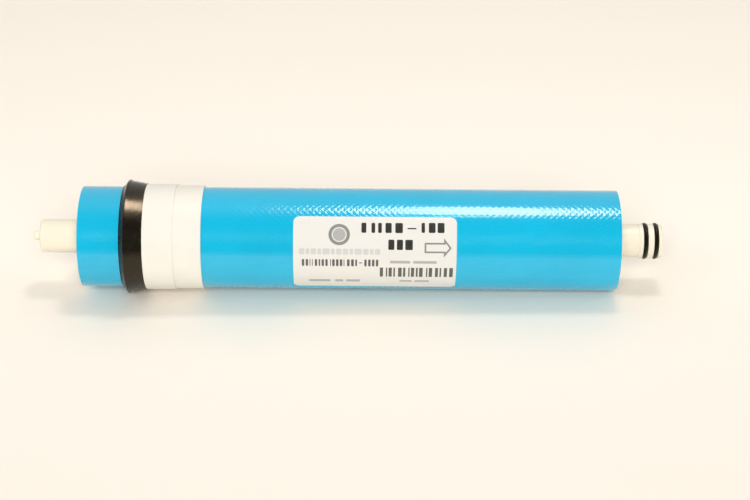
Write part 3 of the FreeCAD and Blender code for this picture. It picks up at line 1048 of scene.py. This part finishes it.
@dataclass
class Winding:
    """Where the wound net lies in the roll, as two leaves of half circles round two centres."""

    layer: float = 0.00165
    first_radius: float = 0.009455
    half_turns: int = 8
    net_middle: float = 0.00104

    def run(self, offset: float, pitch: float, phase: float) -> list[tuple[float, float, float]]:
        """Step along both leaves.

        Args:
            offset: Distance from the leaf's inner face to the wanted line.
            pitch: The length of a step.
            phase: Where the first step lies, as a share of the pitch.

        Returns:
            The depth along Y, the height along Z and the angle out from the centre, by step.
        """
        shift = self.layer / 2
        places = []
        travelled = phase * pitch
        done = 0.0
        for turn in range(self.half_turns):
            centre = -shift if turn % 2 == 0 else shift
            radius = self.first_radius + turn * self.layer + offset
            length = math.pi * radius
            while travelled < done + length:
                angle = math.pi * turn + (travelled - done) / radius
                depth = centre + radius * math.cos(angle)
                height = radius * math.sin(angle)
                places.append((depth, height, angle))
                places.append((-depth, -height, angle + math.pi))
                travelled += pitch
            done += length
        return places


@dataclass
class NetEnds:
    """Cut ends of the net's strands, seen between the sheets at both faces of the roll."""

    winding: Winding
    pitch: float = 0.0027
    strand: float = 0.00042
    length: float = 0.0016
    bevel_share: float = 0.18
    stand_out: float = 0.00028
    unevenness: float = 0.00012
    scatter: float = 12.9898
    lean: float = math.radians(32.0)
    strands: Finish = StrandPlastic("net_strand_ends", (0.80, 0.84, 0.84), 0.35)

    def build(self) -> None:
        """Copy the stub along the wound nets, at both faces."""
        material = self.strands.material()
        for end in End:
            stub = self.stub()
            corners = [vertex.co.copy() for vertex in stub.data.vertices]
            loops = [tuple(face.vertices) for face in stub.data.polygons]
            points, faces = [], []
            for place in self.places(end):
                base = len(points)
                points.extend(tuple(place @ corner) for corner in corners)
                faces.extend(tuple(base + index for index in loop) for loop in loops)
            bpy.data.objects.remove(stub)
            copies = bpy.data.meshes.new(f"net_ends_{end.name.lower()}")
            copies.from_pydata(points, [], faces)
            copies.update()
            piece = bpy.data.objects.new(copies.name, copies)
            bpy.context.scene.collection.objects.link(piece)
            publish(piece, material)

    def stub(self) -> Piece:
        """Model one cut strand end, standing along X.

        Returns:
            The stub, to be copied.
        """
        deselect()
        bpy.ops.mesh.primitive_cylinder_add(
            vertices=8,
            radius=self.strand / 2,
            depth=self.length,
            end_fill_type="NGON",
            rotation=(0.0, math.pi / 2, 0.0),
        )
        piece = bpy.context.object
        settle(piece)
        deselect_mesh()
        for face in piece.data.polygons:
            face.select = face.normal.x > 0.9
        bpy.ops.object.mode_set(mode="EDIT")
        bpy.ops.mesh.bevel(offset=self.strand * self.bevel_share, segments=1, affect="EDGES")
        bpy.ops.object.mode_set(mode="OBJECT")
        return piece

    def places(self, end: End) -> list[Matrix]:
        """Stand the stubs of one face on the spacer's end.

        Args:
            end: The face of the roll.

        Returns:
            One matrix for each stub.
        """
        low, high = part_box("feed_spacer_1")
        face = high.x if end is End.OUTLET else low.x
        flip = Matrix.Identity(4) if end is End.OUTLET else Matrix.Rotation(math.pi, 4, "Z")
        matrices = []
        for row in (-1, 1):
            slant = Matrix.Rotation(-row * self.lean, 4, "Y")
            line = self.winding.net_middle + row * self.strand / 2
            steps = self.winding.run(line, self.pitch, phase=0.25 * (row + 1))
            for count, (depth, height, angle) in enumerate(steps):
                out = self.stand_out + self.unevenness * math.sin(count * self.scatter)
                place = Matrix.Translation((face + end.value * out, depth, height))
                matrices.append(place @ Matrix.Rotation(angle, 4, "X") @ flip @ slant)
        return matrices


@dataclass
class Roll:
    """The wrapped roll with its seal, tapes and layers."""

    film: Finish = WrapFilm("cyan_wrap_film", (0.004, 0.432, 0.672), 0.12)
    tape: Finish = VinylTape("white_vinyl_tape", (0.82, 0.785, 0.705), 0.36)
    seal: Finish = SealRubber("brine_seal_rubber", (0.006, 0.005, 0.0035), 0.24)
    cloth: Finish = WovenCloth("permeate_cloth", (0.86, 0.86, 0.80), 0.8)
    membrane: Finish = MembraneSheet("membrane_film", (0.88, 0.88, 0.84), 0.45)
    net: Finish = NetPlastic("spacer_net_plastic", (0.62, 0.66, 0.66), 0.45)

    def build(self) -> None:
        """Dress the roll's solids and add the net's ends."""
        dress_nodes(["outer_wrap"], self.film)
        dress_nodes(["seal_tape", "seal_tape_top"], self.tape)
        dress_nodes(["brine_seal"], self.seal)
        dress_nodes(["core_wrap", "permeate_carrier_1", "permeate_carrier_2"], self.cloth)
        dress_nodes(["membrane_leaf_1", "membrane_leaf_2"], self.membrane)
        dress_nodes(["feed_spacer_1", "feed_spacer_2", "outer_net_turn"], self.net)
        NetEnds(Winding()).build()


@dataclass
class PermeateTube:
    """The centre tube with its plug and ring seals."""

    plastic: Finish = NaturalPlastic("natural_tube_plastic", (0.87, 0.80, 0.655), 0.36)
    ring: Finish = Rubber(
        "ring_seal_rubber",
        (0.005, 0.004, 0.003),
        0.30,
        grain_height=0.000002,
        gleam=(0.5, 0.42, 0.32),
    )

    def build(self) -> None:
        """Dress the tube, the plug and the rings."""
        dress_nodes(["permeate_tube", "feed_end_plug"], self.plastic)
        dress_nodes(["o_ring_inboard", "o_ring_outboard"], self.ring)


# The studio


@dataclass(frozen=True)
class SoftBox:
    """A soft box that faces the element, with its width along X."""

    name: str
    place: Place
    size: Span
    power: float
    tint: Colour = (1.0, 1.0, 0.99)
    reach: Reach = Reach.SHADING
    only: str = ""

    def hang(self) -> None:
        """Hang the lamp and limit what it acts on."""
        data = bpy.data.lights.new(self.name, "AREA")
        data.shape = "ELLIPSE" if self.reach is Reach.REFLECTIONS else "RECTANGLE"
        data.size, data.size_y = self.size
        data.energy = self.power
        data.color = self.tint
        lamp = bpy.data.objects.new(self.name, data)
        lamp.matrix_world = self.stand()
        lamp.visible_glossy = self.reach is Reach.REFLECTIONS
        lamp.visible_diffuse = self.reach is Reach.SHADING
        if self.only:
            receivers = bpy.data.collections.new(f"{self.name}_receivers")
            receivers.objects.link(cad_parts[self.only])
            lamp.light_linking.receiver_collection = receivers
        bpy.context.scene.collection.objects.link(lamp)

    def stand(self) -> Matrix:
        """Turn the lamp to the element.

        Returns:
            The lamp's place and turn.
        """
        away = Vector(self.place).normalized()
        tall = away.cross(Vector((1.0, 0.0, 0.0))).normalized()
        turn = Matrix((tall.cross(away), tall, away)).transposed()
        return Matrix.Translation(self.place) @ turn.to_4x4()


@dataclass
class Studio:
    """Pale floor, soft light and the camera."""

    floor_reach: float = 3.0
    floor_front: float = 0.205
    floor_squares: int = 12
    seal_crest: float = 0.02725
    roll_radius: float = 0.024
    crest_from_edge: float = 0.0220
    paper: Finish = StudioPaper("studio_paper", (0.965, 0.90, 0.81), 0.9)
    lamps: tuple[SoftBox, ...] = (
        SoftBox("overhead_box", (0.13, 0.155, 1.12), (0.18, 0.18), 2.4, (1.0, 0.93, 0.86)),
        SoftBox(
            "overhead_gleam",
            (0.14, 0.098, 1.12),
            (0.31, 0.47),
            4.15,
            (1.0, 0.90, 0.80),
            Reach.REFLECTIONS,
        ),
        SoftBox(
            "seal_gleam",
            (0.11, 0.12, 1.12),
            (0.30, 0.44),
            4.6,
            (1.0, 0.92, 0.84),
            Reach.REFLECTIONS,
            only="brine_seal",
        ),
        SoftBox("front_box", (0.0, -2.20, 1.22), (1.6, 1.0), 52.0),
        SoftBox("left_front_box", (-1.8, -1.3, 1.7), (1.4, 1.0), 11.0),
        SoftBox("right_front_box", (2.0, -0.4, 2.0), (1.4, 1.0), 4.5),
        SoftBox("back_box", (0.0, 2.0, 2.4), (2.4, 1.0), 5.5),
    )
    sky: Colour = (0.68, 0.67, 0.65)
    dim_sky: Colour = (0.13, 0.129, 0.125)
    sky_dims_over: Span = (-0.35, 0.25)
    sensor: float = 36.0
    lens: float = 80.08
    nearest: float = 0.01
    camera_place: Place = (0.009289, -0.703063, 0.381992)
    camera_yaw: float = 0.005415
    camera_pitch: float = -0.504600
    camera_roll: float = 0.011500

    def build(self) -> None:
        """Set up the floor, the light and the camera."""
        self.lay_floor()
        for lamp in self.lamps:
            lamp.hang()
        self.light_world()
        self.stand_camera()
        bpy.context.scene.view_settings.view_transform = "Standard"

    def lay_floor(self) -> None:
        """Lay the floor under the seal's crest and the roll's outlet edge, where it rests."""
        low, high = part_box("outer_wrap")
        rest = Vector((high.x, 0.0, -self.roll_radius))
        crest = Vector((low.x + self.crest_from_edge, 0.0, -self.seal_crest))
        tilt = math.atan2(rest.z - crest.z, rest.x - crest.x)
        squares = self.floor_squares
        deselect()
        bpy.ops.mesh.primitive_grid_add(x_subdivisions=squares, y_subdivisions=squares, size=1.0)
        floor = bpy.context.object
        floor.name = "studio_floor"
        floor.scale = (2 * self.floor_reach, self.floor_reach + self.floor_front, 1.0)
        floor.location.y = (self.floor_reach - self.floor_front) / 2
        settle(floor)
        floor.data.transform(Matrix.Translation(rest) @ Matrix.Rotation(-tilt, 4, "Y"))
        dress(floor, self.paper.material())
        LOG.info("floor tilted by %.2f degrees", math.degrees(tilt))

    def light_world(self) -> None:
        """Surround the studio with soft light, dimmer low in front."""
        world = bpy.data.worlds.new("studio_surroundings")
        bpy.context.scene.world = world
        world.use_nodes = True
        wiring = Wiring(world.node_tree)
        _, depth, _ = wiring.split(wiring.add("ShaderNodeTexCoord").outputs["Generated"])
        dimness = wiring.remap(depth, self.sky_dims_over, (1.0, 0.0))
        background = wiring.add("ShaderNodeBackground")
        wiring.feed(background.inputs["Color"], wiring.blend(dimness, self.sky, self.dim_sky))
        output = wiring.add("ShaderNodeOutputWorld")
        wiring.feed(output.inputs["Surface"], background.outputs[0])

    def stand_camera(self) -> None:
        """Stand the camera where the photograph was taken from."""
        data = bpy.data.cameras.new("camera")
        data.sensor_width = self.sensor
        data.lens = self.lens
        data.clip_start = self.nearest
        camera = bpy.data.objects.new("camera", data)
        yaw_sine, yaw_cosine = math.sin(self.camera_yaw), math.cos(self.camera_yaw)
        level = math.cos(self.camera_pitch)
        ahead = Vector((yaw_sine * level, yaw_cosine * level, math.sin(self.camera_pitch)))
        right = Vector((yaw_cosine, -yaw_sine, 0.0))
        up = right.cross(ahead)
        rolled_right = math.cos(self.camera_roll) * right + math.sin(self.camera_roll) * up
        rolled_up = math.cos(self.camera_roll) * up - math.sin(self.camera_roll) * right
        turn = Matrix((rolled_right, rolled_up, -ahead)).transposed()
        camera.matrix_world = Matrix.Translation(self.camera_place) @ turn.to_4x4()
        bpy.context.scene.collection.objects.link(camera)
        bpy.context.scene.camera = camera


def main() -> None:
    """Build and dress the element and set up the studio."""
    logging.basicConfig(level=logging.INFO, format="%(name)s: %(message)s")
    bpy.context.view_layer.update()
    for assembly in (PermeateTube(), Roll(), Label(), Studio()):
        assembly.build()
        LOG.info("%s done", type(assembly).__name__)


if __name__ == "__main__":
    main()
